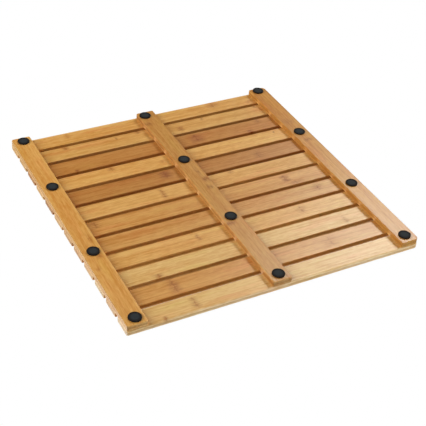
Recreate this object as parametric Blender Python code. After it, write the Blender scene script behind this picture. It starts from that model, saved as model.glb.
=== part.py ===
"""Slatted bamboo bath mat (duckboard), built the way it is made.

Twelve slats lie side by side across three battens and are glued to them. Headless pins,
driven up through the two side battens, hold each slat's ends. Four rubber pads under each
batten keep the wood off the floor.

The origin is on the floor, under the middle of the mat. X runs along the slats, Y along the
battens and Z up: the mat stands on its pads with the walking surface on top. "Front" is -Y.
"""
import math

import bmesh
import bpy

# ---- overall size, metres ----
MAT_WIDTH = 0.500           # X, the slats' length
MAT_DEPTH = 0.500           # Y, over the two outer slats
CORNER_RADIUS = {           # plan radius of the mat's corners, by side
    "left": 0.0035,
    "right": 0.008,
}

# ---- slats ----
SLAT_COUNT = 12
SLAT_GAP = 0.008            # drain slot between two slats
SLAT_THICKNESS = 0.0085
SLAT_ARRIS = 0.0003         # roundover of every slat edge but the mat's outer long edges
SLAT_CORNER = 0.0012        # plan radius of a slat's own corners
EDGE_ROUND_UNDER = 0.0030   # roundover of the mat's outer long edges, underside
EDGE_ROUND_TOP = 0.0020     # the same, walking surface

# ---- battens ----
BATTEN_WIDTH = 0.0325
BATTEN_THICKNESS = 0.0090
BATTEN_END_INSET = 0.0010   # set back from the slats' outer long edge
BATTEN_ARRIS = 0.0012       # roundover round the face that looks at the floor
BATTEN_JOINT_ARRIS = 0.0003 # the same, round the glued face
BATTEN_CORNER = 0.0025      # plan radius where it isn't a corner of the mat
GLUE_LINE = 0.0003          # between batten and slat

# ---- rubber pads ----
FOOT_DIAMETER = 0.020
FOOT_THICKNESS = 0.0019
FOOT_RIM = 0.0004           # roundover of the rim that meets the floor
FOOT_FILM = 0.0003          # adhesive between pad and batten
FOOT_END_MARGIN = 0.0030    # bare batten between its end and the nearest pad
FOOT_INBOARD = 0.0012       # outer columns sit this far inside the batten's centre line
INNER_FOOT_SLOT = 2         # inner pads lie over this slot, counted from the middle one
HAND_SLIP = {               # pads stuck on off their marks: how far along X and along Y
    ("left", "inner_front"): (0.0, -0.0090),
    ("left", "inner_rear"): (0.0, -0.0028),
    ("middle", "front"): (-0.0045, 0.0),
    ("middle", "rear"): (0.0, -0.0015),
    ("right", "front"): (0.0, -0.0030),
    ("right", "inner_front"): (0.0, -0.0025),
    ("right", "inner_rear"): (0.0, -0.0025),
    ("right", "rear"): (0.0, -0.0032),
}

# ---- headless pins: two to a slat, driven up through the side battens ----
PIN_DIAMETER = 0.0013
PIN_TIP = 0.0015            # length of the point
PIN_SINK = 0.0008           # the blunt end lies this far inside the batten's face
PIN_COVER = 0.0030          # wood between the point and the walking surface
PIN_GAP = 0.0003            # round the pin and past its tip

# ---- how finely round things are cut ----
CORNER_STEPS = 5
SMALL_CORNER_STEPS = 1
EDGE_STEPS = 2
FOOT_SIDES = 24
PIN_SIDES = 8
CUT_OVERRUN = 0.001         # how far a cutter passes the face it enters

# ---- what follows from the sizes above ----
SLAT_WIDTH = (MAT_DEPTH - (SLAT_COUNT - 1) * SLAT_GAP) / SLAT_COUNT
SLAT_PITCH = SLAT_WIDTH + SLAT_GAP
FOOT_FLOOR_Z = 0.0
BATTEN_Z = FOOT_THICKNESS + FOOT_FILM
SLAT_Z = BATTEN_Z + BATTEN_THICKNESS + GLUE_LINE
BATTEN_LENGTH = MAT_DEPTH - 2 * BATTEN_END_INSET
PIN_LENGTH = SLAT_Z + SLAT_THICKNESS - BATTEN_Z - PIN_SINK - PIN_COVER
BATTEN_X = {
    "left": -(MAT_WIDTH - BATTEN_WIDTH) / 2,
    "middle": 0.0,
    "right": (MAT_WIDTH - BATTEN_WIDTH) / 2,
}

BAMBOO_TONES = {
    "pale": (0.71, 0.47, 0.22),
    "honey": (0.62, 0.37, 0.14),
    "amber": (0.52, 0.27, 0.09),
}
SLAT_TONES = (
    "honey", "honey", "amber", "honey", "amber", "honey",
    "honey", "amber", "honey", "pale", "honey", "pale",
)


# ---------------------------------------------------------------- scene and materials

def clear_scene():
    for thing in list(bpy.data.objects):
        bpy.data.objects.remove(thing, do_unlink=True)


def material(name, colour, roughness, metallic=0.0):
    made = bpy.data.materials.new(name)
    made.use_nodes = True
    shader = made.node_tree.nodes["Principled BSDF"]
    shader.inputs["Base Color"].default_value = (*colour, 1.0)
    shader.inputs["Roughness"].default_value = roughness
    shader.inputs["Metallic"].default_value = metallic
    return made


def place(name, mesh, parent, location, surface, turned=False):
    """One object from a mesh, at its place; turned means half a turn about Z."""
    thing = bpy.data.objects.new(name, mesh)
    bpy.context.scene.collection.objects.link(thing)
    thing.parent = parent
    thing.location = location
    thing.rotation_euler = (0.0, 0.0, math.pi if turned else 0.0)
    if not mesh.materials:
        mesh.materials.append(None)
    thing.material_slots[0].link = "OBJECT"
    thing.material_slots[0].material = surface
    return thing


# ---------------------------------------------------------------- shapes

def rounded_plan(half_x, half_y, radii, steps):
    """Plan outline of a board, anticlockwise from the +X +Y corner.

    radii and steps give each corner's arc: (+X+Y, -X+Y, -X-Y, +X-Y). Each point is
    (x, y, outward angle, corner index, share of the corner's arc).
    """
    points = []
    signs = ((1, 1), (-1, 1), (-1, -1), (1, -1))
    for corner, (sx, sy) in enumerate(signs):
        radius = radii[corner]
        for step in range(steps[corner] + 1):
            share = step / steps[corner]
            angle = math.radians(90 * (corner + share))
            x = sx * (half_x - radius) + radius * math.cos(angle)
            y = sy * (half_y - radius) + radius * math.sin(angle)
            points.append((x, y, angle, corner, share))
    return points


def eased_board(name, plan, thickness, under, top):
    """A board from z = 0 to its thickness, with rolled edges.

    under and top are functions of a plan point that give the roundover's radius there.
    """
    bm = bmesh.new()
    quarter = math.pi / 2
    levels = [("under", quarter * step / EDGE_STEPS) for step in range(EDGE_STEPS + 1)]
    levels += [("top", quarter * (1 - step / EDGE_STEPS)) for step in range(EDGE_STEPS + 1)]
    rings = []
    for side, turn in levels:
        ring = []
        for point in plan:
            radius = under(point) if side == "under" else top(point)
            inset = radius * (1 - math.sin(turn))
            rise = radius * (1 - math.cos(turn))
            z = rise if side == "under" else thickness - rise
            x = point[0] - inset * math.cos(point[2])
            y = point[1] - inset * math.sin(point[2])
            ring.append(bm.verts.new((x, y, z)))
        rings.append(ring)
    skin(bm, rings)
    return finished(bm, name)


def turned_solid(bm, profile, sides, centre=(0.0, 0.0)):
    """A closed solid round Z from (radius, z) points, lowest first; radius 0 makes a tip."""
    rings = []
    for radius, z in profile:
        if radius == 0.0:
            rings.append([bm.verts.new((centre[0], centre[1], z))])
            continue
        ring = []
        for side in range(sides):
            angle = 2 * math.pi * side / sides
            x = centre[0] + radius * math.cos(angle)
            y = centre[1] + radius * math.sin(angle)
            ring.append(bm.verts.new((x, y, z)))
        rings.append(ring)
    skin(bm, rings)


def skin(bm, rings):
    """Joins rings of vertices, lowest first, with side faces, and caps both ends."""
    for low, high in zip(rings, rings[1:]):
        count = max(len(low), len(high))
        for index in range(count):
            following = (index + 1) % count
            if len(high) == 1:
                corners = (low[index], low[following], high[0])
            elif len(low) == 1:
                corners = (low[0], high[following], high[index])
            else:
                corners = (low[index], low[following], high[following], high[index])
            bm.faces.new(corners)
    if len(rings[0]) > 1:
        bm.faces.new(reversed(rings[0]))
    if len(rings[-1]) > 1:
        bm.faces.new(rings[-1])


def finished(bm, name, smooth=False):
    bm.normal_update()
    mesh = bpy.data.meshes.new(name)
    bm.to_mesh(mesh)
    bm.free()
    if smooth:
        mesh.shade_smooth()
        mesh.set_sharp_from_angle(angle=math.radians(35))
    return mesh


def around_flats(radius, sides):
    """Corner radius of a regular polygon whose flats stand this far from its centre."""
    return radius / math.cos(math.pi / sides)


# ---------------------------------------------------------------- slats

def slat_y(number):
    """Centre of slat 1..SLAT_COUNT, from the front of the mat to the rear."""
    return (number - (SLAT_COUNT + 1) / 2) * SLAT_PITCH


def inner_slat_mesh():
    plan = rounded_plan(
        MAT_WIDTH / 2, SLAT_WIDTH / 2, (SLAT_CORNER,) * 4, (SMALL_CORNER_STEPS,) * 4
    )
    return eased_board("inner_slat", plan, SLAT_THICKNESS, lambda p: SLAT_ARRIS, lambda p: SLAT_ARRIS)


def outer_slat_mesh(name, plus_x, minus_x):
    """An outer slat: its +Y side is the mat's edge, with a corner of the mat at each end.

    plus_x and minus_x are the radii of those corners.
    """
    plan = rounded_plan(
        MAT_WIDTH / 2,
        SLAT_WIDTH / 2,
        (plus_x, minus_x, SLAT_CORNER, SLAT_CORNER),
        (CORNER_STEPS, CORNER_STEPS, SMALL_CORNER_STEPS, SMALL_CORNER_STEPS),
    )

    def edge_share(point):
        """1 on the mat's outer long edge, fading to 0 round its corners."""
        corner, share = point[3], point[4]
        if corner > 1:
            return 0.0
        return share if corner == 0 else 1 - share

    def under(point):
        return SLAT_ARRIS + (EDGE_ROUND_UNDER - SLAT_ARRIS) * edge_share(point)

    def top(point):
        return SLAT_ARRIS + (EDGE_ROUND_TOP - SLAT_ARRIS) * edge_share(point)

    return eased_board(name, plan, SLAT_THICKNESS, under, top)


def make_slats(parent, bores):
    """The front slat is laid in half a turn about Z, so its corners are given the other way."""
    left, right = CORNER_RADIUS["left"], CORNER_RADIUS["right"]
    inner = inner_slat_mesh()
    outer = {
        1: outer_slat_mesh("front_slat", left, right),
        SLAT_COUNT: outer_slat_mesh("rear_slat", right, left),
    }
    for number in range(1, SLAT_COUNT + 1):
        name = f"slat_{number:02d}"
        tone = SLAT_TONES[(number - 1) % len(SLAT_TONES)]
        surface = material(name, BAMBOO_TONES[tone], 0.45)
        mesh = outer.get(number, inner)
        spot = (0.0, slat_y(number), SLAT_Z)
        slat = place(name, mesh, parent, spot, surface, turned=number == 1)
        for cutter in bores.values():
            drill(slat, cutter)


# ---------------------------------------------------------------- battens

def batten_mesh(side):
    """A batten; a side one has the mat's own corners, on its -X side."""
    outer = CORNER_RADIUS.get(side, BATTEN_CORNER)
    small = SMALL_CORNER_STEPS + 1
    steps = CORNER_STEPS if side in CORNER_RADIUS else small
    plan = rounded_plan(
        BATTEN_WIDTH / 2,
        BATTEN_LENGTH / 2,
        (BATTEN_CORNER, outer, outer, BATTEN_CORNER),
        (small, steps, steps, small),
    )
    return eased_board(
        f"{side}_batten",
        plan,
        BATTEN_THICKNESS,
        lambda p: BATTEN_ARRIS,
        lambda p: BATTEN_JOINT_ARRIS,
    )


def make_battens(parent, bores):
    """The right batten is laid in half a turn about Z, so its rounder corners face outwards."""
    for side, x in BATTEN_X.items():
        name = f"batten_{side}"
        surface = material(name, BAMBOO_TONES["honey"], 0.45)
        spot = (x, 0.0, BATTEN_Z)
        batten = place(name, batten_mesh(side), parent, spot, surface, turned=side == "right")
        if side in bores:
            drill(batten, bores[side])


# ---------------------------------------------------------------- rubber pads

def foot_mesh():
    radius = FOOT_DIAMETER / 2
    profile = (
        (radius - FOOT_RIM, 0.0),
        (radius, FOOT_RIM),
        (radius, FOOT_THICKNESS),
    )
    bm = bmesh.new()
    turned_solid(bm, profile, FOOT_SIDES)
    return finished(bm, "foot", smooth=True)


def foot_rows():
    """Row name to nominal Y: the end pads, and the inner pads over a drain slot."""
    end = BATTEN_LENGTH / 2 - FOOT_END_MARGIN - FOOT_DIAMETER / 2
    inner = INNER_FOOT_SLOT * SLAT_PITCH
    return {"front": -end, "inner_front": -inner, "inner_rear": inner, "rear": end}


def make_feet(parent):
    mesh = foot_mesh()
    for side, batten_x in BATTEN_X.items():
        inboard = -math.copysign(FOOT_INBOARD, batten_x) if batten_x else 0.0
        for row, row_y in foot_rows().items():
            name = f"foot_{side}_{row}"
            slip_x, slip_y = HAND_SLIP.get((side, row), (0.0, 0.0))
            spot = (batten_x + inboard + slip_x, row_y + slip_y, FOOT_FLOOR_Z)
            surface = material(name, (0.035, 0.042, 0.048), 0.6)
            place(name, mesh, parent, spot, surface)


# ---------------------------------------------------------------- pins and their bores

PINNED_BATTENS = ("left", "right")


def pin_mesh():
    """Blunt end down, point up, measured from the blunt end."""
    radius = PIN_DIAMETER / 2
    profile = ((radius, 0.0), (radius, PIN_LENGTH - PIN_TIP), (0.0, PIN_LENGTH))
    bm = bmesh.new()
    turned_solid(bm, profile, PIN_SIDES)
    return finished(bm, "pin", smooth=True)


def bores_mesh():
    """The holes along one batten, each from outside its face to past its pin's point."""
    radius = around_flats(PIN_DIAMETER / 2 + PIN_GAP, PIN_SIDES)
    profile = ((radius, -PIN_SINK - CUT_OVERRUN), (radius, PIN_LENGTH + PIN_GAP))
    bm = bmesh.new()
    for number in range(1, SLAT_COUNT + 1):
        turned_solid(bm, profile, PIN_SIDES, centre=(0.0, slat_y(number)))
    return finished(bm, "bores")


def make_bores(parent):
    """Cutters, one to a pinned batten: each drills its batten and the slats above it."""
    mesh = bores_mesh()
    cutters = {}
    for side in PINNED_BATTENS:
        cutter = bpy.data.objects.new(f"cut_{side}", mesh)
        bpy.context.scene.collection.objects.link(cutter)
        cutter.parent = parent
        cutter.location = (BATTEN_X[side], 0.0, BATTEN_Z + PIN_SINK)
        cutter.hide_render = True
        cutter.display_type = "WIRE"
        cutters[side] = cutter
    return cutters


def drill(thing, cutter):
    cut = thing.modifiers.new(cutter.name, "BOOLEAN")
    cut.operation = "DIFFERENCE"
    cut.solver = "EXACT"
    cut.object = cutter


def make_pins(parent):
    mesh = pin_mesh()
    for side in PINNED_BATTENS:
        for number in range(1, SLAT_COUNT + 1):
            name = f"pin_{side}_{number:02d}"
            surface = material(name, (0.55, 0.55, 0.56), 0.35, metallic=1.0)
            spot = (BATTEN_X[side], slat_y(number), BATTEN_Z + PIN_SINK)
            place(name, mesh, parent, spot, surface)


# ---------------------------------------------------------------- the mat

def main():
    clear_scene()
    mat = bpy.data.objects.new("bath_mat", None)
    bpy.context.scene.collection.objects.link(mat)
    bores = make_bores(mat)
    make_slats(mat, bores)
    make_battens(mat, bores)
    make_feet(mat)
    make_pins(mat)
    bpy.context.view_layer.update()


main()
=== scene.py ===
"""Looks of the slatted bamboo bath mat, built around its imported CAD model.

The mat stands on its pads, as it is used, and the camera looks up at it from under the floor,
at the side that carries the battens and the pads. The floor is one-sided: it shows in views
from above and lets the camera and the lamps below see through it.

Boards are rebuilt with smooth roundovers and a procedural bamboo, pads with a turned rim and a
stippled rubber. The steel pins stay as the CAD made them.
"""

import math

import bmesh
import bpy
from mathutils import Matrix, Vector


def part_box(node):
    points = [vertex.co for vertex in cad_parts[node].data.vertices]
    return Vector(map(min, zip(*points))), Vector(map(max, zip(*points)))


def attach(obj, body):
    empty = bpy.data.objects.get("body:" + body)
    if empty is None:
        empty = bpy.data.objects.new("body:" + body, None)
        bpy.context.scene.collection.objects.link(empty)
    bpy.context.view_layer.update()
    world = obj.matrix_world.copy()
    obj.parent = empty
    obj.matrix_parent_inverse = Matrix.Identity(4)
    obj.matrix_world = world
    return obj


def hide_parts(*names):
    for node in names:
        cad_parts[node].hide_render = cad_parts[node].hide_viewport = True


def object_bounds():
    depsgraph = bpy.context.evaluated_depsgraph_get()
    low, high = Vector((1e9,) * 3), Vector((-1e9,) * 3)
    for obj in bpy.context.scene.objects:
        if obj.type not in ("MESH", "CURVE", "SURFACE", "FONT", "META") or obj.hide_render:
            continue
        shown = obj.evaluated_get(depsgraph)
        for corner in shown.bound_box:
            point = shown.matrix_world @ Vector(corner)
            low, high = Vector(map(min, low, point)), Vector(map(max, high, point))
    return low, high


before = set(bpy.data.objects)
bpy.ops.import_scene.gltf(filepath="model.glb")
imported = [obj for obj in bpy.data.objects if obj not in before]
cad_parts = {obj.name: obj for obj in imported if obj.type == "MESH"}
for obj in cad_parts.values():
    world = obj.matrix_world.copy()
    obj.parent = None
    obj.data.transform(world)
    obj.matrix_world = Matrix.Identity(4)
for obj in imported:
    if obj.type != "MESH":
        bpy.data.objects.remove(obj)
CAD_LOW, CAD_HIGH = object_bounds()

ROOT = "root"

# ---- roundovers and corners of the boards, metres: the CAD model's own ----
CORNER_RADIUS = {"left": 0.0035, "right": 0.008}
SLAT_ARRIS = 0.0003
SLAT_CORNER = 0.0012
EDGE_ROUND_UNDER = 0.0030
EDGE_ROUND_TOP = 0.0020
BATTEN_ARRIS = 0.0012
BATTEN_JOINT_ARRIS = 0.0003
BATTEN_CORNER = 0.0025
CORNER_STEPS = 14
SMALL_CORNER_STEPS = 5
EDGE_STEPS = 6
SHARP_ANGLE = math.radians(40)

# ---- pockets for the pins, closed at the batten's face ----
POCKET_PLAY = 0.0003
POCKET_SIDES = 16

# ---- rubber pads ----
PAD_RIM = 0.0004
PAD_RIM_STEPS = 5
PAD_RING_WIDTH = 0.0011
PAD_DISH = 0.00012
PAD_SIDES = 72
PAD_BACK_BEVEL = 0.0001

# ---- camera: where it looks, from which side, and how far off ----
CAMERA_TARGET = Vector((-0.010564, 0.046264, CAD_HIGH.z))
CAMERA_TURN = math.radians(-30.3707)
CAMERA_RISE = math.radians(37.4865)
CAMERA_ROLL = math.radians(4.9202)
CAMERA_DISTANCE = 1.595937
CAMERA_LENS = 83.229
CAMERA_SENSOR = 36.0

# ---- lamps: direction from the mat's middle, distance, size, watts, colour ----
LAMPS = {
    "key_under": {
        "towards": (0.680, -0.346, -0.646), "distance": 5.0, "size": (1.5, 1.5),
        "watts": 92.0, "colour": (1.0, 0.985, 0.96),
    },
    "sheen_under": {
        "towards": (0.537, -0.516, -0.668), "distance": 5.0, "size": (0.5, 0.5),
        "watts": 38.0, "colour": (0.98, 1.0, 0.92),
    },
    "fill_under": {
        "towards": (-0.76, -0.16, -0.63), "distance": 3.0, "size": (2.0, 2.0),
        "watts": 55.0, "colour": (1.0, 0.99, 0.975),
    },
    "side_under": {
        "towards": (-0.92, -0.32, -0.22), "distance": 3.0, "size": (1.8, 1.2),
        "watts": 26.0, "colour": (1.0, 0.99, 0.975),
    },
    "edge_under": {
        "towards": (0.489, 0.870, -0.045), "distance": 3.0, "size": (1.2, 0.4),
        "watts": 40.0, "colour": (1.0, 0.99, 0.98),
    },
    "key_top": {
        "towards": (-0.62, -0.25, 0.74), "distance": 2.2, "size": (1.0, 1.0),
        "watts": 52.0, "colour": (1.0, 0.985, 0.965),
    },
}

# ---- surroundings: radiance by height of the direction, from straight down to straight up ----
SKY_BANDS = ((0.00, 0.04), (0.47, 0.06), (0.53, 0.80), (0.64, 1.05), (0.72, 0.12), (1.00, 0.06))

SHEEN_OF_ROOM = 0.3     # share of the surroundings that reflections see

FLOOR_RADIUS = 9.0
FLOOR_SIDES = 96
FLOOR_DROP = 0.0002
FLOOR_COLOUR = (0.83, 0.82, 0.80)

# ---- bamboo ----
TONES = {
    "pale": (0.86, 0.53, 0.190),
    "honey": (0.77, 0.425, 0.130),
    "tan": (0.71, 0.355, 0.098),
    "amber": (0.58, 0.255, 0.062),
    "batten": (0.62, 0.30, 0.074),
    "left": (0.78, 0.40, 0.105),
    "right": (0.64, 0.290, 0.048),
}

# Each board: tone, how much lighter than that it is, seed of its figure, where its two strips
# meet (metres from its centre line), how far apart their tones are, and its growth nodes on the
# underside as (place along the board, place across it, length, reach across, strength).
SLATS = {
    12: ("pale", 0.93, 12.7, 0.004, 0.10, (
        (-0.137, 0.000, 0.012, 0.014, 0.45), (-0.189, 0.013, 0.008, 0.005, 0.50),
    )),
    11: ("tan", 1.00, 11.3, -0.003, -0.18, (
        (-0.149, 0.000, 0.019, 0.016, 0.55), (0.122, 0.000, 0.026, 0.014, 0.25),
    )),
    10: ("pale", 0.94, 10.9, 0.002, 0.12, (
        (-0.161, 0.012, 0.016, 0.006, 0.55), (0.175, 0.004, 0.010, 0.012, 0.25),
    )),
    9: ("honey", 1.04, 9.1, -0.005, 0.10, (
        (-0.066, -0.004, 0.008, 0.010, 0.40), (0.122, -0.005, 0.018, 0.010, 0.30),
    )),
    8: ("tan", 0.97, 8.6, 0.003, -0.14, (
        (0.181, -0.005, 0.022, 0.010, 0.35),
    )),
    7: ("tan", 1.00, 7.2, 0.000, 0.16, (
        (-0.202, -0.008, 0.018, 0.010, 0.45), (0.142, -0.004, 0.016, 0.010, 0.60),
        (0.155, 0.012, 0.030, 0.006, 0.30),
    )),
    6: ("honey", 1.03, 6.4, -0.004, 0.08, (
        (-0.068, 0.000, 0.009, 0.014, 0.50), (0.063, -0.013, 0.014, 0.005, 0.30),
    )),
    5: ("amber", 0.97, 5.8, 0.005, 0.10, (
        (-0.042, -0.005, 0.022, 0.012, 0.65), (0.134, 0.000, 0.020, 0.012, 0.25),
    )),
    4: ("honey", 1.08, 4.5, 0.002, -0.10, (
        (-0.121, -0.012, 0.014, 0.006, 0.50), (-0.030, 0.001, 0.010, 0.006, 0.25),
        (0.197, -0.010, 0.005, 0.004, 0.50),
    )),
    3: ("amber", 1.01, 3.3, -0.002, 0.08, (
        (-0.175, 0.014, 0.008, 0.004, 0.70), (0.057, 0.000, 0.026, 0.014, 0.45),
        (0.158, 0.014, 0.012, 0.004, 0.60), (0.187, -0.012, 0.014, 0.008, 0.30),
    )),
    2: ("honey", 1.00, 2.9, 0.006, -0.16, (
        (-0.169, -0.012, 0.012, 0.005, 0.55), (-0.077, -0.009, 0.006, 0.004, 0.50),
        (-0.033, -0.014, 0.012, 0.005, 0.50), (0.043, 0.003, 0.012, 0.009, 0.55),
        (0.094, -0.012, 0.008, 0.005, 0.45), (0.207, -0.013, 0.006, 0.004, 0.60),
    )),
    1: ("honey", 1.07, 1.6, -0.003, 0.10, (
        (-0.153, -0.005, 0.010, 0.008, 0.30), (0.134, -0.006, 0.024, 0.012, 0.35),
        (0.205, 0.008, 0.012, 0.008, 0.30),
    )),
}
BATTENS = {
    "left": ("left", 1.00, 21.5, 0.003, 0.10, (
        (0.096, -0.006, 0.010, 0.006, 0.40), (0.050, -0.008, 0.030, 0.004, 0.30),
        (0.122, 0.006, 0.010, 0.005, 0.25),
    )),
    "middle": ("batten", 1.00, 22.2, -0.002, 0.12, (
        (-0.209, 0.010, 0.012, 0.008, 0.45), (-0.020, -0.009, 0.016, 0.007, 0.60),
        (0.001, -0.006, 0.012, 0.006, 0.50), (-0.045, -0.006, 0.050, 0.004, 0.30),
        (0.100, 0.008, 0.010, 0.008, 0.50),
    )),
    "right": ("right", 1.00, 23.8, 0.004, 0.10, (
        (-0.061, -0.001, 0.010, 0.008, 0.40), (-0.125, 0.002, 0.020, 0.012, 0.20),
    )),
}
# Colour of the side and end faces, as shares of the board's tone. Inner sides carry painted shade: they
# are tinted to the colour of walls in the shaded gaps. Outer sides carry a painted reflection, paler and
# bluer on the slats; on the battens it is darker and bluer, painted shade and reflection both.
SLAT_SIDES = {"inner": (0.97, 1.05, 1.20), "outer": (1.14, 1.40, 2.30), "end": (0.58, 0.70, 1.05)}
BATTEN_SIDES = {"inner": (0.88, 0.90, 0.92), "outer": (0.58, 0.68, 0.99), "end": (0.96, 1.14, 1.60)}
SLAT_PLIES = 3.0
BATTEN_PLIES = 3.0

# Figure, layer by layer: waves per metre along, across and through the board, the noise's
# detail, roughness and distortion, and how much darker the layer makes the wood.
FIGURE = {
    "clouds": ((9.0, 45.0, 45.0), 3.0, 0.5, 0.0, 0.22),
    "bands": ((3.0, 120.0, 120.0), 2.0, 0.5, 0.0, 0.58),
    "streaks": ((6.0, 330.0, 330.0), 3.0, 0.6, 0.0, 0.88),
    "mottle": ((75.0, 400.0, 400.0), 2.0, 0.5, 0.6, 0.85),
    "fibres": ((26.0, 1500.0, 1500.0), 2.0, 0.65, 0.0, 0.70),
}
FIGURE_MIDDLE = 0.42
PORE_SCALE = (60.0, 2600.0, 2600.0)
PORE_DEPTH = 0.12
SEAM_DEPTH = 0.12

# Colour changes, as shares of the colour they act on.
LIGHT_WOOD = (1.12, 1.18, 1.24)
DARK_WOOD = (0.88, 0.70, 0.42)
REDDISH = (1.03, 0.88, 0.92)
STRAW = (0.98, 1.06, 0.90)
GROWTH_NODE = (0.60, 0.41, 0.26)
CORE_PLY = (0.74, 0.66, 0.56)
GLUE_LINE = (0.48, 0.38, 0.30)
FIBRE_BUNDLE = (0.46, 0.36, 0.28)
# painted highlight on the roundovers, where light catches them
ROUNDOVER_HIGHLIGHT = (1.14, 1.22, 1.36)

# A growth node: its smudge, the line through it, and how strong the whole is.
MARK_BODY = 0.72
MARK_LINE = 0.55
MARK_STRENGTH = 2.2

# Relief: strength, and depth in metres.
BAMBOO_BUMP = (0.35, 0.00012)
RUBBER_BUMP = (0.5, 0.00008)
STEEL_BUMP = (0.3, 0.00003)

BAMBOO_SHINE = {"IOR": 1.5, "Coat Weight": 0.06, "Coat Roughness": 0.30}
RUBBER_SHINE = {"IOR": 1.48, "Specular IOR Level": 0.30}

# ---- rubber and steel ----
RUBBER_TONES = ((0.018, 0.023, 0.026), (0.034, 0.041, 0.046))
RUBBER_RIM_TONE = (0.007, 0.004, 0.003)
RUBBER_RIM_FADE = (0.0045, 0.0085)
STEEL_TONES = ((0.62, 0.62, 0.63), (0.42, 0.40, 0.37))


# ---------------------------------------------------------------- mesh code

def rounded_plan(half_x, half_y, radii):
    """Plan outline of a board, anticlockwise from the +X +Y corner.

    Each point is (x, y, outward angle, corner index, share of the corner's arc).
    """
    points = []
    signs = ((1, 1), (-1, 1), (-1, -1), (1, -1))
    for corner, (sx, sy) in enumerate(signs):
        radius = radii[corner]
        steps = CORNER_STEPS if radius > BATTEN_CORNER else SMALL_CORNER_STEPS
        for step in range(steps + 1):
            share = step / steps
            angle = math.radians(90 * (corner + share))
            x = sx * (half_x - radius) + radius * math.cos(angle)
            y = sy * (half_y - radius) + radius * math.sin(angle)
            points.append((x, y, angle, corner, share))
    return points


def board_mesh(name, size, radii, under, top):
    """A board centred on the origin, its length along X, with rolled edges.

    under and top are functions of a plan point that give the roundover's radius there.
    """
    length, width, thickness = size
    plan = rounded_plan(length / 2, width / 2, radii)
    quarter = math.pi / 2
    levels = [(-1, quarter * step / EDGE_STEPS) for step in range(EDGE_STEPS + 1)]
    levels += [(1, quarter * (1 - step / EDGE_STEPS)) for step in range(EDGE_STEPS + 1)]
    bm = bmesh.new()
    rings = []
    for side, turn in levels:
        ring = []
        for point in plan:
            radius = under(point) if side < 0 else top(point)
            inset = radius * (1 - math.sin(turn))
            rise = radius * (1 - math.cos(turn))
            x = point[0] - inset * math.cos(point[2])
            y = point[1] - inset * math.sin(point[2])
            ring.append(bm.verts.new((x, y, side * (thickness / 2 - rise))))
        rings.append(ring)
    skin(bm, rings)
    return finished(bm, name)


def skin(bm, rings):
    """Joins rings of vertices, lowest first, with side faces, and caps both ends."""
    for low, high in zip(rings, rings[1:]):
        for index in range(len(low)):
            following = (index + 1) % len(low)
            bm.faces.new((low[index], low[following], high[following], high[index]))
    bm.faces.new(reversed(rings[0]))
    bm.faces.new(rings[-1])


def finished(bm, name):
    """Writes the bmesh to a new smooth mesh and frees it."""
    bm.normal_update()
    mesh = bpy.data.meshes.new(name)
    bm.to_mesh(mesh)
    bm.free()
    mesh.shade_smooth()
    return mesh


def turned_solid(bm, profile, sides, centre=(0.0, 0.0)):
    """A closed solid turned round Z from (radius, z) points, from its lower cap to its upper."""
    rings = []
    for radius, z in profile:
        ring = []
        for side in range(sides):
            angle = 2 * math.pi * side / sides
            x = centre[0] + radius * math.cos(angle)
            y = centre[1] + radius * math.sin(angle)
            ring.append(bm.verts.new((x, y, z)))
        rings.append(ring)
    skin(bm, rings)


def add_object(name, mesh, location, turn=0.0):
    thing = bpy.data.objects.new(name, mesh)
    bpy.context.scene.collection.objects.link(thing)
    thing.location = location
    thing.rotation_euler = (0.0, 0.0, turn)
    return thing


def middle(low, high):
    return (low + high) / 2


# ---------------------------------------------------------------- node helpers

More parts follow.
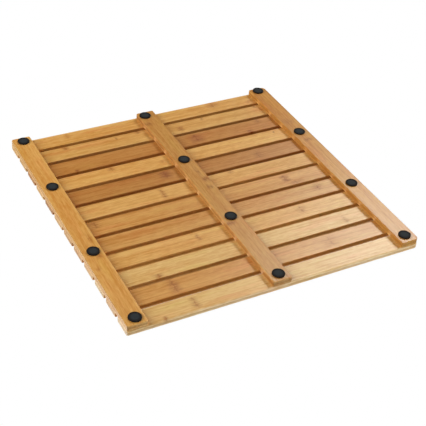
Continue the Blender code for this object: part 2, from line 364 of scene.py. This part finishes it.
class Graph:
    """Short ways to add nodes to one tree."""

    def __init__(self, tree):
        self.tree = tree

    def node(self, kind, **settings):
        made = self.tree.nodes.new(kind)
        for key, value in settings.items():
            setattr(made, key, value)
        return made

    def feed(self, socket, value):
        """Links an output to the socket, or sets the socket's own value."""
        if isinstance(value, bpy.types.NodeSocket):
            self.tree.links.new(value, socket)
        elif isinstance(value, tuple) and len(value) == 3 and socket.type == "RGBA":
            socket.default_value = (*value, 1.0)
        else:
            socket.default_value = value

    def math(self, operation, *values, clamp=False):
        made = self.node("ShaderNodeMath", operation=operation, use_clamp=clamp)
        for socket, value in zip(made.inputs, values):
            self.feed(socket, value)
        return made.outputs[0]

    def vector(self, x, y, z):
        made = self.node("ShaderNodeCombineXYZ")
        for socket, value in zip(made.inputs, (x, y, z)):
            self.feed(socket, value)
        return made.outputs[0]

    def split(self, vector):
        made = self.node("ShaderNodeSeparateXYZ")
        self.feed(made.inputs[0], vector)
        return made.outputs

    def scaled(self, parts, scale, shift=0.0):
        """The point (x, y, z) scaled along each axis, moved along X by shift."""
        x = self.math("MULTIPLY_ADD", parts[0], scale[0], shift)
        y = self.math("MULTIPLY", parts[1], scale[1])
        z = self.math("MULTIPLY", parts[2], scale[2])
        return self.vector(x, y, z)

    def noise(self, point, detail=2.0, roughness=0.5, distortion=0.0):
        """Noise about 0, within about -1 to 1."""
        made = self.node("ShaderNodeTexNoise", noise_dimensions="3D")
        self.feed(made.inputs["Vector"], point)
        made.inputs["Scale"].default_value = 1.0
        made.inputs["Detail"].default_value = detail
        made.inputs["Roughness"].default_value = roughness
        made.inputs["Distortion"].default_value = distortion
        return self.math("MULTIPLY_ADD", made.outputs["Fac"], 2.0, -1.0)

    def ramp(self, value, low, high, to_low=0.0, to_high=1.0):
        """Smooth step from to_low to to_high as value goes from low to high."""
        made = self.node("ShaderNodeMapRange", interpolation_type="SMOOTHSTEP", clamp=True)
        for socket, number in zip(made.inputs, (value, low, high, to_low, to_high)):
            self.feed(socket, number)
        return made.outputs[0]

    def mix(self, share, first, second, blend="MIX"):
        made = self.node("ShaderNodeMix", data_type="RGBA", blend_type=blend)
        self.feed(made.inputs[0], share)
        self.feed(made.inputs[6], first)
        self.feed(made.inputs[7], second)
        return made.outputs[2]

    def tinted(self, share, colour, tint):
        """The colour, with share of it multiplied by the tint."""
        return self.mix(share, colour, self.mix(1.0, colour, tint, "MULTIPLY"))

    def bump(self, height, strength, distance):
        made = self.node("ShaderNodeBump")
        made.inputs["Strength"].default_value = strength
        made.inputs["Distance"].default_value = distance
        self.feed(made.inputs["Height"], height)
        return made.outputs["Normal"]


def new_material(name):
    """A material, its Graph and its Principled shader."""
    made = bpy.data.materials.new(name)
    made.use_nodes = True
    return made, Graph(made.node_tree), made.node_tree.nodes["Principled BSDF"]


# ---------------------------------------------------------------- bamboo

def bamboo_group():
    """One node group that draws bamboo on a board whose length lies along its own X."""
    tree = bpy.data.node_groups.new("bamboo", "ShaderNodeTree")
    sockets = (
        ("Tone", "NodeSocketColor"), ("Seed", "NodeSocketFloat"),
        ("Thickness", "NodeSocketFloat"), ("Plies", "NodeSocketFloat"),
        ("Meeting", "NodeSocketFloat"), ("Contrast", "NodeSocketFloat"),
        ("Outer", "NodeSocketFloat"), ("Marks", "NodeSocketFloat"),
        ("Inner side", "NodeSocketColor"), ("Outer side", "NodeSocketColor"),
        ("End face", "NodeSocketColor"),
    )
    for name, kind in sockets:
        tree.interface.new_socket(name, in_out="INPUT", socket_type=kind)
    for name, kind in (
        ("Color", "NodeSocketColor"), ("Roughness", "NodeSocketFloat"), ("Height", "NodeSocketFloat"),
    ):
        tree.interface.new_socket(name, in_out="OUTPUT", socket_type=kind)
    g = Graph(tree)
    given = g.node("NodeGroupInput").outputs
    coordinates = g.node("ShaderNodeTexCoord")
    place = g.split(coordinates.outputs["Object"])
    normal = g.split(coordinates.outputs["Normal"])
    shift = g.math("MULTIPLY", given["Seed"], 3.7)

    # figure: slow clouds, bands, streaks, mottling and single fibres
    layers = {}
    for name, (scale, detail, roughness, distortion, _) in FIGURE.items():
        layers[name] = g.noise(g.scaled(place, scale, shift), detail, roughness, distortion)
    clouds, streaks, fibres = layers["clouds"], layers["streaks"], layers["fibres"]
    pores = g.ramp(g.noise(g.scaled(place, PORE_SCALE, shift), detail=1.0), 0.25, 0.6)

    # two strips side by side in each board
    wander = g.math("MULTIPLY", g.noise(g.scaled(place, (8.0, 0.0, 0.0), shift)), 0.0004)
    across = g.math("SUBTRACT", g.math("ADD", place[1], wander), given["Meeting"])
    strip = g.ramp(across, -0.0003, 0.0003, -0.5, 0.5)
    seam = g.ramp(g.math("ABSOLUTE", across), 0.0001, 0.0005, 1.0, 0.0)

    shade = FIGURE_MIDDLE
    for name, layer in FIGURE.items():
        shade = g.math("MULTIPLY_ADD", layers[name], layer[-1], shade)
    shade = g.math("MULTIPLY_ADD", strip, given["Contrast"], shade)
    shade = g.math("MULTIPLY_ADD", pores, PORE_DEPTH, shade)
    shade = g.math("MULTIPLY_ADD", seam, SEAM_DEPTH, shade)
    shade = g.math("ADD", shade, 0.0, clamp=True)
    light = g.mix(1.0, given["Tone"], LIGHT_WOOD, "MULTIPLY")
    dark = g.mix(1.0, given["Tone"], DARK_WOOD, "MULTIPLY")
    colour = g.mix(shade, light, dark)

    # drifts of hue: reddish one way, straw yellow the other
    drift = g.noise(g.scaled(place, (10.0, 70.0, 70.0), g.math("ADD", shift, 11.0)), detail=3.0)
    reddish = g.ramp(drift, 0.05, 0.60, 0.0, 0.9)
    straw = g.ramp(drift, -0.05, -0.60, 0.0, 0.9)
    colour = g.tinted(reddish, colour, REDDISH)
    colour = g.tinted(straw, colour, STRAW)

    # growth nodes
    marks = g.math("MAXIMUM", given["Marks"], strewn_marks(g, place, given["Seed"], shift))
    colour = g.tinted(marks, colour, GROWTH_NODE)

    # plies through the thickness, and the glue lines between them
    height = g.math("MULTIPLY", g.math("DIVIDE", place[2], given["Thickness"]), given["Plies"])
    ply_place = g.math("ABSOLUTE", height)
    core = g.ramp(ply_place, 0.46, 0.54, 1.0, 0.0)
    glue = g.ramp(g.math("ABSOLUTE", g.math("SUBTRACT", ply_place, 0.5)), 0.015, 0.07, 1.0, 0.0)
    colour = g.tinted(g.math("MULTIPLY", core, 0.8), colour, CORE_PLY)
    colour = g.tinted(g.math("MULTIPLY", glue, 0.75), colour, GLUE_LINE)

    # side faces get tints: painted shade on the inner sides, a painted reflection on the outer sides;
    # end faces get a tint of their own and show the fibre bundles as dots
    side = g.ramp(g.math("ABSOLUTE", normal[1]), 0.55, 0.95)
    end = g.ramp(g.math("ABSOLUTE", normal[0]), 0.55, 0.95)
    outer = g.math("MULTIPLY", normal[1], given["Outer"], clamp=True)
    inner = g.math("MULTIPLY", side, g.math("SUBTRACT", 1.0, outer))
    colour = g.tinted(inner, colour, given["Inner side"])
    colour = g.tinted(outer, colour, given["Outer side"])
    colour = g.tinted(end, colour, given["End face"])
    bundles = g.node("ShaderNodeTexVoronoi", feature="F1", voronoi_dimensions="3D")
    g.feed(bundles.inputs["Vector"], g.scaled(place, (0.0, 1300.0, 1300.0), shift))
    bundles.inputs["Scale"].default_value = 1.0
    dots = g.ramp(bundles.outputs["Distance"], 0.18, 0.42, 1.0, 0.0)
    end_colour = g.tinted(g.math("MULTIPLY", dots, 0.7), colour, FIBRE_BUNDLE)
    colour = g.mix(end, colour, end_colour)

    # painted highlight: the roundovers are painted paler, where light catches them
    tilt = g.math("MULTIPLY", normal[2], normal[2])
    arris = g.math("MULTIPLY", g.math("MULTIPLY", tilt, g.math("SUBTRACT", 1.0, tilt)), 4.0)
    painted_highlight = g.math("MULTIPLY", g.ramp(arris, 0.1, 0.9), g.ramp(clouds, -0.6, 0.5, 0.10, 0.55))
    colour = g.tinted(painted_highlight, colour, ROUNDOVER_HIGHLIGHT)

    upright = g.ramp(g.math("ABSOLUTE", normal[2]), 0.45, 0.90, 1.0, 0.0)
    rough = g.math("MULTIPLY_ADD", streaks, 0.05, 0.34)
    rough = g.math("MULTIPLY_ADD", marks, 0.12, rough)
    rough = g.math("MULTIPLY_ADD", upright, 0.28, rough)
    rough = g.math("MULTIPLY_ADD", arris, 0.15, rough)
    rough = g.math("MULTIPLY_ADD", pores, 0.08, rough)

    relief = g.math("MULTIPLY_ADD", fibres, 0.45, g.math("MULTIPLY", streaks, 0.55))
    relief = g.math("MULTIPLY_ADD", pores, -0.8, relief)
    relief = g.math("MULTIPLY_ADD", seam, -0.5, relief)
    relief = g.math("MULTIPLY_ADD", marks, 0.7, relief)
    relief = g.math("MULTIPLY_ADD", g.math("MULTIPLY", dots, end), -1.0, relief)

    out = g.node("NodeGroupOutput")
    g.feed(out.inputs["Color"], colour)
    g.feed(out.inputs["Roughness"], rough)
    g.feed(out.inputs["Height"], relief)
    return tree


def growth_node_group():
    """A smudge across the grain, on the underside, where the cane had a node."""
    tree = bpy.data.node_groups.new("growth_node", "ShaderNodeTree")
    for name in ("Along", "Across", "Length", "Reach", "Strength", "Seed"):
        tree.interface.new_socket(name, in_out="INPUT", socket_type="NodeSocketFloat")
    tree.interface.new_socket("Mask", in_out="OUTPUT", socket_type="NodeSocketFloat")
    g = Graph(tree)
    given = g.node("NodeGroupInput").outputs
    place = g.split(g.node("ShaderNodeTexCoord").outputs["Object"])
    shift = given["Seed"]
    below = g.ramp(place[2], -0.0005, 0.0005, 1.0, 0.0)
    ripple = g.noise(g.scaled(place, (40.0, 170.0, 0.0), shift), detail=2.0)
    along = g.math("SUBTRACT", place[0], given["Along"])
    along = g.math("MULTIPLY_ADD", ripple, 0.005, along)
    along = g.math("DIVIDE", g.math("ABSOLUTE", along), given["Length"])
    across = g.math("DIVIDE", g.math("SUBTRACT", place[1], given["Across"]), given["Reach"])
    across = g.math("MULTIPLY_ADD", ripple, 0.3, across)
    body = g.ramp(along, 0.05, 0.75, 1.0, 0.0)
    line = g.ramp(along, 0.0, 0.10, 1.0, 0.0)
    reach = g.ramp(g.math("ABSOLUTE", across), 0.45, 1.15, 1.0, 0.0)
    patchy = g.noise(g.scaled(place, (110.0, 330.0, 0.0), shift), detail=3.0)
    patchy = g.ramp(patchy, -0.35, 0.35, 0.45, 1.15)
    mask = g.math("MULTIPLY_ADD", body, MARK_BODY, g.math("MULTIPLY", line, MARK_LINE))
    mask = g.math("MULTIPLY", mask, g.math("MULTIPLY", reach, patchy))
    mask = g.math("MULTIPLY", mask, g.math("MULTIPLY", given["Strength"], MARK_STRENGTH))
    mask = g.math("MULTIPLY", mask, below, clamp=True)
    out = g.node("NodeGroupOutput")
    g.feed(out.inputs["Mask"], mask)
    return tree


def strewn_marks(g, place, seed, shift):
    """Fainter nodes strewn over the walking surface, one or two to a board."""
    above = g.ramp(place[2], -0.0005, 0.0005)
    cell = g.node("ShaderNodeTexVoronoi", feature="F1", voronoi_dimensions="2D")
    spot = g.vector(
        g.math("MULTIPLY_ADD", place[0], 5.0, seed), g.math("MULTIPLY_ADD", place[1], 22.0, seed), 0.0
    )
    g.feed(cell.inputs["Vector"], spot)
    cell.inputs["Scale"].default_value = 1.0
    offset = g.split(cell.outputs["Position"])
    along = g.math("SUBTRACT", g.math("MULTIPLY_ADD", place[0], 5.0, seed), offset[0])
    ripple = g.noise(g.scaled(place, (30.0, 140.0, 0.0), shift), detail=2.0)
    along = g.math("ABSOLUTE", g.math("MULTIPLY_ADD", ripple, 0.02, along))
    body = g.ramp(along, 0.004, 0.045, 1.0, 0.0)
    patchy = g.ramp(g.noise(g.scaled(place, (90.0, 260.0, 0.0), shift), detail=3.0), -0.4, 0.5)
    return g.math("MULTIPLY", g.math("MULTIPLY", body, patchy), g.math("MULTIPLY", above, 0.45))


def bamboo_material(name, groups, recipe, thickness, plies, sides, outer):
    """A board's own bamboo, lacquered satin."""
    bamboo, growth_node = groups
    tone, lift, seed, meeting, contrast, marks = recipe
    made, g, shader = new_material(name)
    figure = g.node("ShaderNodeGroup", node_tree=bamboo)
    settings = {
        "Tone": tuple(lift * share for share in TONES[tone]), "Seed": seed,
        "Thickness": thickness, "Plies": plies, "Outer": outer,
        "Inner side": sides["inner"], "Outer side": sides["outer"], "End face": sides["end"],
        "Meeting": meeting, "Contrast": contrast,
    }
    for key, value in settings.items():
        g.feed(figure.inputs[key], value)
    mask = 0.0
    for mark in marks:
        smudge = g.node("ShaderNodeGroup", node_tree=growth_node)
        for key, value in zip(("Along", "Across", "Length", "Reach", "Strength"), mark):
            smudge.inputs[key].default_value = value
        smudge.inputs["Seed"].default_value = seed
        mask = g.math("MAXIMUM", mask, smudge.outputs["Mask"])
    g.feed(figure.inputs["Marks"], mask)
    g.feed(shader.inputs["Base Color"], figure.outputs["Color"])
    g.feed(shader.inputs["Roughness"], figure.outputs["Roughness"])
    g.feed(shader.inputs["Normal"], g.bump(figure.outputs["Height"], *BAMBOO_BUMP))
    for key, value in BAMBOO_SHINE.items():
        shader.inputs[key].default_value = value
    return made


# ---------------------------------------------------------------- rubber and steel

def rubber_material():
    """Dark moulded rubber with a fine stipple, a bloom of dust and a darker rim."""
    made, g, shader = new_material("pad_rubber")
    place = g.split(g.node("ShaderNodeTexCoord").outputs["Object"])
    stipple = g.noise(g.scaled(place, (2400.0, 2400.0, 2400.0)), detail=2.0)
    bloom = g.noise(g.scaled(place, (210.0, 210.0, 210.0)), detail=3.0)
    share = g.math("MULTIPLY_ADD", stipple, 0.25, g.ramp(bloom, -0.5, 0.7, 0.1, 0.7))
    colour = g.mix(share, *RUBBER_TONES)
    square = g.math("ADD", g.math("POWER", place[0], 2.0), g.math("POWER", place[1], 2.0))
    colour = g.mix(g.ramp(g.math("SQRT", square), *RUBBER_RIM_FADE), colour, RUBBER_RIM_TONE)
    g.feed(shader.inputs["Base Color"], colour)
    g.feed(shader.inputs["Roughness"], g.math("MULTIPLY_ADD", bloom, 0.08, 0.78))
    g.feed(shader.inputs["Normal"], g.bump(stipple, *RUBBER_BUMP))
    for key, value in RUBBER_SHINE.items():
        shader.inputs[key].default_value = value
    return made


def steel_material():
    """Bright drawn wire with faint lengthwise drawing marks and a little tarnish."""
    made, g, shader = new_material("pin_steel")
    place = g.split(g.node("ShaderNodeTexCoord").outputs["Object"])
    drawn = g.noise(g.scaled(place, (6000.0, 6000.0, 300.0)), detail=2.0)
    tarnish = g.ramp(g.noise(g.scaled(place, (900.0, 900.0, 400.0)), detail=3.0), -0.2, 0.7)
    g.feed(shader.inputs["Base Color"], g.mix(tarnish, *STEEL_TONES))
    g.feed(shader.inputs["Roughness"], g.math("MULTIPLY_ADD", tarnish, 0.2, 0.28))
    g.feed(shader.inputs["Normal"], g.bump(drawn, *STEEL_BUMP))
    shader.inputs["Metallic"].default_value = 1.0
    return made


# ---------------------------------------------------------------- pieces

def pin_names():
    return sorted(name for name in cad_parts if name.startswith("pin_"))


def pocket_cutter():
    """One mesh of all the pins' pockets; it is hidden and only cuts the boards."""
    bm = bmesh.new()
    for name in pin_names():
        low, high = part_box(name)
        centre = middle(low, high)
        radius = (high.x - low.x) / 2 + POCKET_PLAY
        profile = ((radius, low.z - POCKET_PLAY), (radius, high.z + POCKET_PLAY))
        turned_solid(bm, profile, POCKET_SIDES, (centre.x, centre.y))
    return finished(bm, "pin_pockets")


def cut_pockets(board, cutter):
    """Cuts the pockets and writes the result into the board's own mesh."""
    cut = board.modifiers.new("pockets", "BOOLEAN")
    cut.operation = "DIFFERENCE"
    cut.solver = "EXACT"
    cut.object = cutter
    bpy.context.view_layer.update()
    evaluated = board.evaluated_get(bpy.context.evaluated_depsgraph_get())
    mesh = bpy.data.meshes.new_from_object(evaluated)
    board.modifiers.remove(cut)
    board.data = mesh


def finish_board(board, node, surface):
    board.data.materials.clear()
    board.data.materials.append(surface)
    board.data.set_sharp_from_angle(angle=SHARP_ANGLE)
    crisp = board.modifiers.new("flat_faces", "WEIGHTED_NORMAL")
    crisp.mode = "FACE_AREA"
    crisp.keep_sharp = True
    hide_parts(node)
    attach(board, ROOT)


def slat_mesh(name, size, edge):
    """edge is the side that is the mat's own edge: -1 front, 1 rear, 0 for an inner slat."""
    left, right = CORNER_RADIUS["left"], CORNER_RADIUS["right"]
    radii = [SLAT_CORNER] * 4
    if edge > 0:
        radii[:2] = (right, left)
    if edge < 0:
        radii[2:] = (left, right)

    def edge_share(point):
        """1 along the mat's outer edge, fading to 0 round its corners."""
        corner, share = point[3], point[4]
        if edge > 0 and corner < 2:
            return share if corner == 0 else 1 - share
        if edge < 0 and corner > 1:
            return share if corner == 2 else 1 - share
        return 0.0

    def under(point):
        return SLAT_ARRIS + (EDGE_ROUND_UNDER - SLAT_ARRIS) * edge_share(point)

    def top(point):
        return SLAT_ARRIS + (EDGE_ROUND_TOP - SLAT_ARRIS) * edge_share(point)

    return board_mesh(name, size, radii, under, top)


def make_slats(groups, cutter):
    for number, recipe in SLATS.items():
        node = f"slat_{number:02d}"
        low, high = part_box(node)
        size = tuple(high - low)
        edge = {1: -1, len(SLATS): 1}.get(number, 0)
        name = f"bamboo_{node}"
        board = add_object(name, slat_mesh(name, size, edge), middle(low, high))
        cut_pockets(board, cutter)
        surface = bamboo_material(name, groups, recipe, size[2], SLAT_PLIES, SLAT_SIDES, edge)
        finish_board(board, node, surface)


def make_battens(groups, cutter):
    """Each batten's own X runs along the mat's Y, so its own +Y faces the mat's -X."""
    for side, recipe in BATTENS.items():
        node = f"batten_{side}"
        low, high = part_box(node)
        across, along, thickness = high - low
        radii = [BATTEN_CORNER] * 4
        if side == "left":
            radii[0] = radii[1] = CORNER_RADIUS[side]
        if side == "right":
            radii[2] = radii[3] = CORNER_RADIUS[side]
        outer = {"left": 1.0, "right": -1.0}.get(side, 0.0)
        name = f"bamboo_{node}"
        mesh = board_mesh(
            name, (along, across, thickness), radii, lambda p: BATTEN_ARRIS, lambda p: BATTEN_JOINT_ARRIS
        )
        board = add_object(name, mesh, middle(low, high), turn=math.pi / 2)
        if side != "middle":
            cut_pockets(board, cutter)
        surface = bamboo_material(name, groups, recipe, thickness, BATTEN_PLIES, BATTEN_SIDES, outer)
        finish_board(board, node, surface)


def pad_mesh(name, diameter, thickness):
    """A pad with a rolled rim and a shallow dish inside a flat ring; z = 0 meets the floor."""
    radius = diameter / 2
    ring = radius - PAD_RIM - PAD_RING_WIDTH
    profile = [(ring * 0.5, PAD_DISH), (ring - PAD_DISH, PAD_DISH), (ring, 0.0)]
    for step in range(PAD_RIM_STEPS + 1):
        turn = math.pi / 2 * step / PAD_RIM_STEPS
        profile.append((radius - PAD_RIM * (1 - math.sin(turn)), PAD_RIM * (1 - math.cos(turn))))
    profile.append((radius, thickness - PAD_BACK_BEVEL))
    profile.append((radius - PAD_BACK_BEVEL, thickness))
    bm = bmesh.new()
    turned_solid(bm, profile, PAD_SIDES)
    return finished(bm, name)


def make_pads():
    rubber = rubber_material()
    for node in sorted(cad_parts):
        if not node.startswith("foot_"):
            continue
        low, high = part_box(node)
        name = node.replace("foot_", "rubber_pad_")
        centre = middle(low, high)
        mesh = pad_mesh(name, high.x - low.x, high.z - low.z)
        mesh.materials.append(rubber)
        mesh.set_sharp_from_angle(angle=SHARP_ANGLE)
        pad = add_object(name, mesh, (centre.x, centre.y, low.z))
        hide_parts(node)
        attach(pad, ROOT)


def dress_pins():
    steel = steel_material()
    for name in pin_names():
        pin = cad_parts[name]
        for slot in pin.material_slots:
            slot.material = steel


# ---------------------------------------------------------------- stage, lamps and camera

def make_floor():
    """A pale disc that shows from above only, and casts no shadow on what is below."""
    bm = bmesh.new()
    bmesh.ops.create_circle(bm, cap_ends=True, segments=FLOOR_SIDES, radius=FLOOR_RADIUS)
    mesh = bpy.data.meshes.new("floor")
    bm.to_mesh(mesh)
    bm.free()
    floor = add_object("floor", mesh, (0.0, 0.0, CAD_LOW.z - FLOOR_DROP))
    floor.visible_shadow = False
    floor.visible_diffuse = False
    floor.visible_glossy = False
    made = bpy.data.materials.new("floor")
    made.use_nodes = True
    tree = made.node_tree
    tree.nodes.clear()
    g = Graph(tree)
    paint = g.node("ShaderNodeBsdfDiffuse")
    paint.inputs["Color"].default_value = (*FLOOR_COLOUR, 1.0)
    clear = g.node("ShaderNodeBsdfTransparent")
    geometry = g.node("ShaderNodeNewGeometry")
    choice = g.node("ShaderNodeMixShader")
    out = g.node("ShaderNodeOutputMaterial")
    tree.links.new(geometry.outputs["Backfacing"], choice.inputs[0])
    tree.links.new(paint.outputs[0], choice.inputs[1])
    tree.links.new(clear.outputs[0], choice.inputs[2])
    tree.links.new(choice.outputs[0], out.inputs["Surface"])
    mesh.materials.append(made)


def make_lamp(name, lamp):
    data = bpy.data.lights.new(name, "AREA")
    data.shape = "RECTANGLE"
    data.size, data.size_y = lamp["size"]
    data.energy = lamp["watts"]
    data.color = lamp["colour"]
    thing = bpy.data.objects.new(name, data)
    bpy.context.scene.collection.objects.link(thing)
    towards = Vector(lamp["towards"]).normalized()
    thing.location = middle(CAD_LOW, CAD_HIGH) + towards * lamp["distance"]
    thing.rotation_euler = towards.to_track_quat("Z", "Y").to_euler()
    thing.visible_camera = False


def make_world():
    """White to the camera; to the mat, a bright horizon under a dimmer roof and over a dimmer pit."""
    world = bpy.data.worlds.new("studio")
    bpy.context.scene.world = world
    world.use_nodes = True
    tree = world.node_tree
    tree.nodes.clear()
    g = Graph(tree)
    height = g.split(g.node("ShaderNodeTexCoord").outputs["Generated"])[2]
    bands = g.node("ShaderNodeValToRGB")
    bands.color_ramp.interpolation = "EASE"
    stops = bands.color_ramp.elements
    while len(stops) < len(SKY_BANDS):
        stops.new(0.5)
    for stop, (place, level) in zip(stops, SKY_BANDS):
        stop.position = place
        stop.color = (level, level, level, 1.0)
    g.feed(bands.inputs[0], g.math("MULTIPLY_ADD", height, 0.5, 0.5))
    room = g.node("ShaderNodeBackground")
    tree.links.new(bands.outputs[0], room.inputs["Color"])
    rays = g.node("ShaderNodeLightPath")
    g.feed(room.inputs["Strength"], g.ramp(rays.outputs["Is Glossy Ray"], 0.0, 1.0, 1.0, SHEEN_OF_ROOM))
    paper = g.node("ShaderNodeBackground")
    paper.inputs["Color"].default_value = (1.0, 1.0, 1.0, 1.0)
    choice = g.node("ShaderNodeMixShader")
    out = g.node("ShaderNodeOutputWorld")
    tree.links.new(rays.outputs["Is Camera Ray"], choice.inputs[0])
    tree.links.new(room.outputs[0], choice.inputs[1])
    tree.links.new(paper.outputs[0], choice.inputs[2])
    tree.links.new(choice.outputs[0], out.inputs["Surface"])


def make_camera():
    """Below the floor, off to the mat's left rear, looking up at the side with the pads."""
    back = Vector((
        math.sin(CAMERA_TURN) * math.cos(CAMERA_RISE),
        math.cos(CAMERA_TURN) * math.cos(CAMERA_RISE),
        -math.sin(CAMERA_RISE),
    ))
    right = (-back).cross(Vector((0.0, 0.0, -1.0))).normalized()
    up = right.cross(-back)
    tilted_right = math.cos(CAMERA_ROLL) * right + math.sin(CAMERA_ROLL) * up
    tilted_up = math.cos(CAMERA_ROLL) * up - math.sin(CAMERA_ROLL) * right
    data = bpy.data.cameras.new("camera")
    data.lens = CAMERA_LENS
    data.sensor_width = CAMERA_SENSOR
    thing = bpy.data.objects.new("camera", data)
    bpy.context.scene.collection.objects.link(thing)
    turn = Matrix((tilted_right, tilted_up, back)).transposed()
    spot = CAMERA_TARGET + back * CAMERA_DISTANCE
    thing.matrix_world = Matrix.Translation(spot) @ turn.to_4x4()
    bpy.context.scene.camera = thing


def make_mat():
    groups = (bamboo_group(), growth_node_group())
    cutter = add_object("pin_pockets", pocket_cutter(), (0.0, 0.0, 0.0))
    make_slats(groups, cutter)
    make_battens(groups, cutter)
    bpy.data.objects.remove(cutter)
    make_pads()
    dress_pins()


make_camera()
make_world()
make_floor()
for lamp_name, lamp in LAMPS.items():
    make_lamp(lamp_name, lamp)
make_mat()
bpy.context.scene.view_settings.view_transform = "Standard"
